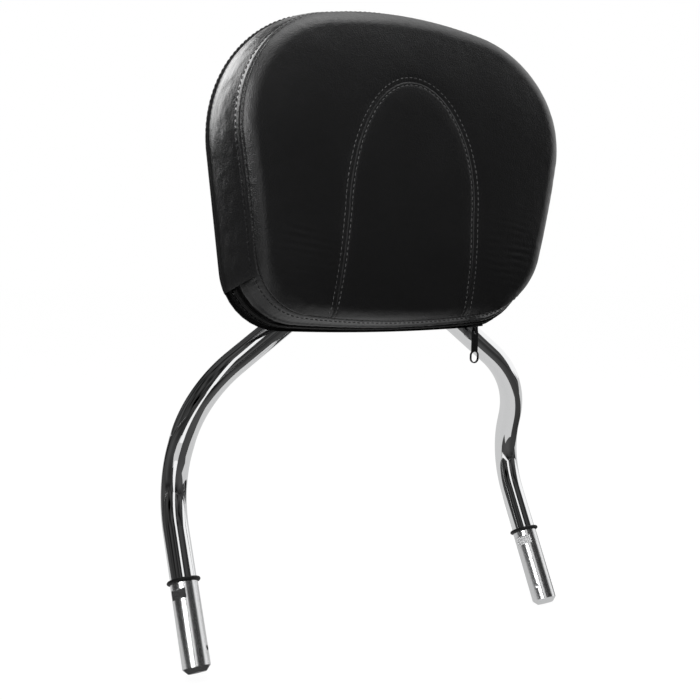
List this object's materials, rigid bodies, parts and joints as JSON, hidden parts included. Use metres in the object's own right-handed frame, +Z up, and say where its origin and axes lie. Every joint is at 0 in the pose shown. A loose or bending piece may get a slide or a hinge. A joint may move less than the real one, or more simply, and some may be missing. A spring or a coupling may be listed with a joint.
{
  "type": "sissy bar",
  "caption": "Black leather passenger backrest with a horseshoe seam and a zipped cover, on a bent chrome tube arch with two plug-in posts and rubber washers.",
  "frame": {"origin": "midway between the shoulders of the two posts, on their axes", "axes": "+X across the bike, towards right_post; +Y from the leaning side of the cushion to its back; +Z up the cushion"},
  "size_m": [0.382, 0.1102, 0.5435],
  "materials": {
    "chrome": "polished",
    "polished_steel": "polished",
    "rubber": "matte",
    "brass": "satin",
    "plywood": "matte",
    "foam": "matte",
    "leather": "satin",
    "tape": "matte",
    "teeth": "satin",
    "zip_metal": "gloss"
  },
  "bodies": {
    "backrest": {"frame_tube": "chrome", "left_post": "polished_steel", "right_post": "polished_steel", "left_washer": "rubber", "right_washer": "rubber", "mounting_plate": "chrome", "plate_screws": "polished_steel", "screw_washers": "polished_steel", "tee_nuts": "brass", "base_board": "plywood", "foam_core": "foam", "center_panel": "leather", "front_panel": "leather", "side_boxing": "leather", "bottom_gusset": "leather", "back_panel": "leather", "front_zip_tape": "tape", "rear_zip_tape": "tape", "zip_teeth": "teeth", "zip_end_stops": "polished_steel"},
    "slider": {"zip_slider": "zip_metal"},
    "pull": {"zip_pull": "zip_metal"}
  },
  "joints": [
    {"name": "zip_slide", "type": "hinge", "parent": "backrest", "child": "slider", "pos_m": [0, -0.0179, 1.604], "axis": [0, 1, 0], "range_deg": [0, 7.78]},
    {"name": "pull_swing", "type": "hinge", "parent": "slider", "child": "pull", "pos_m": [0.09808, -0.0179, 0.20275], "axis": [0, 1, 0], "range_deg": [-70, 70]}
  ]
}
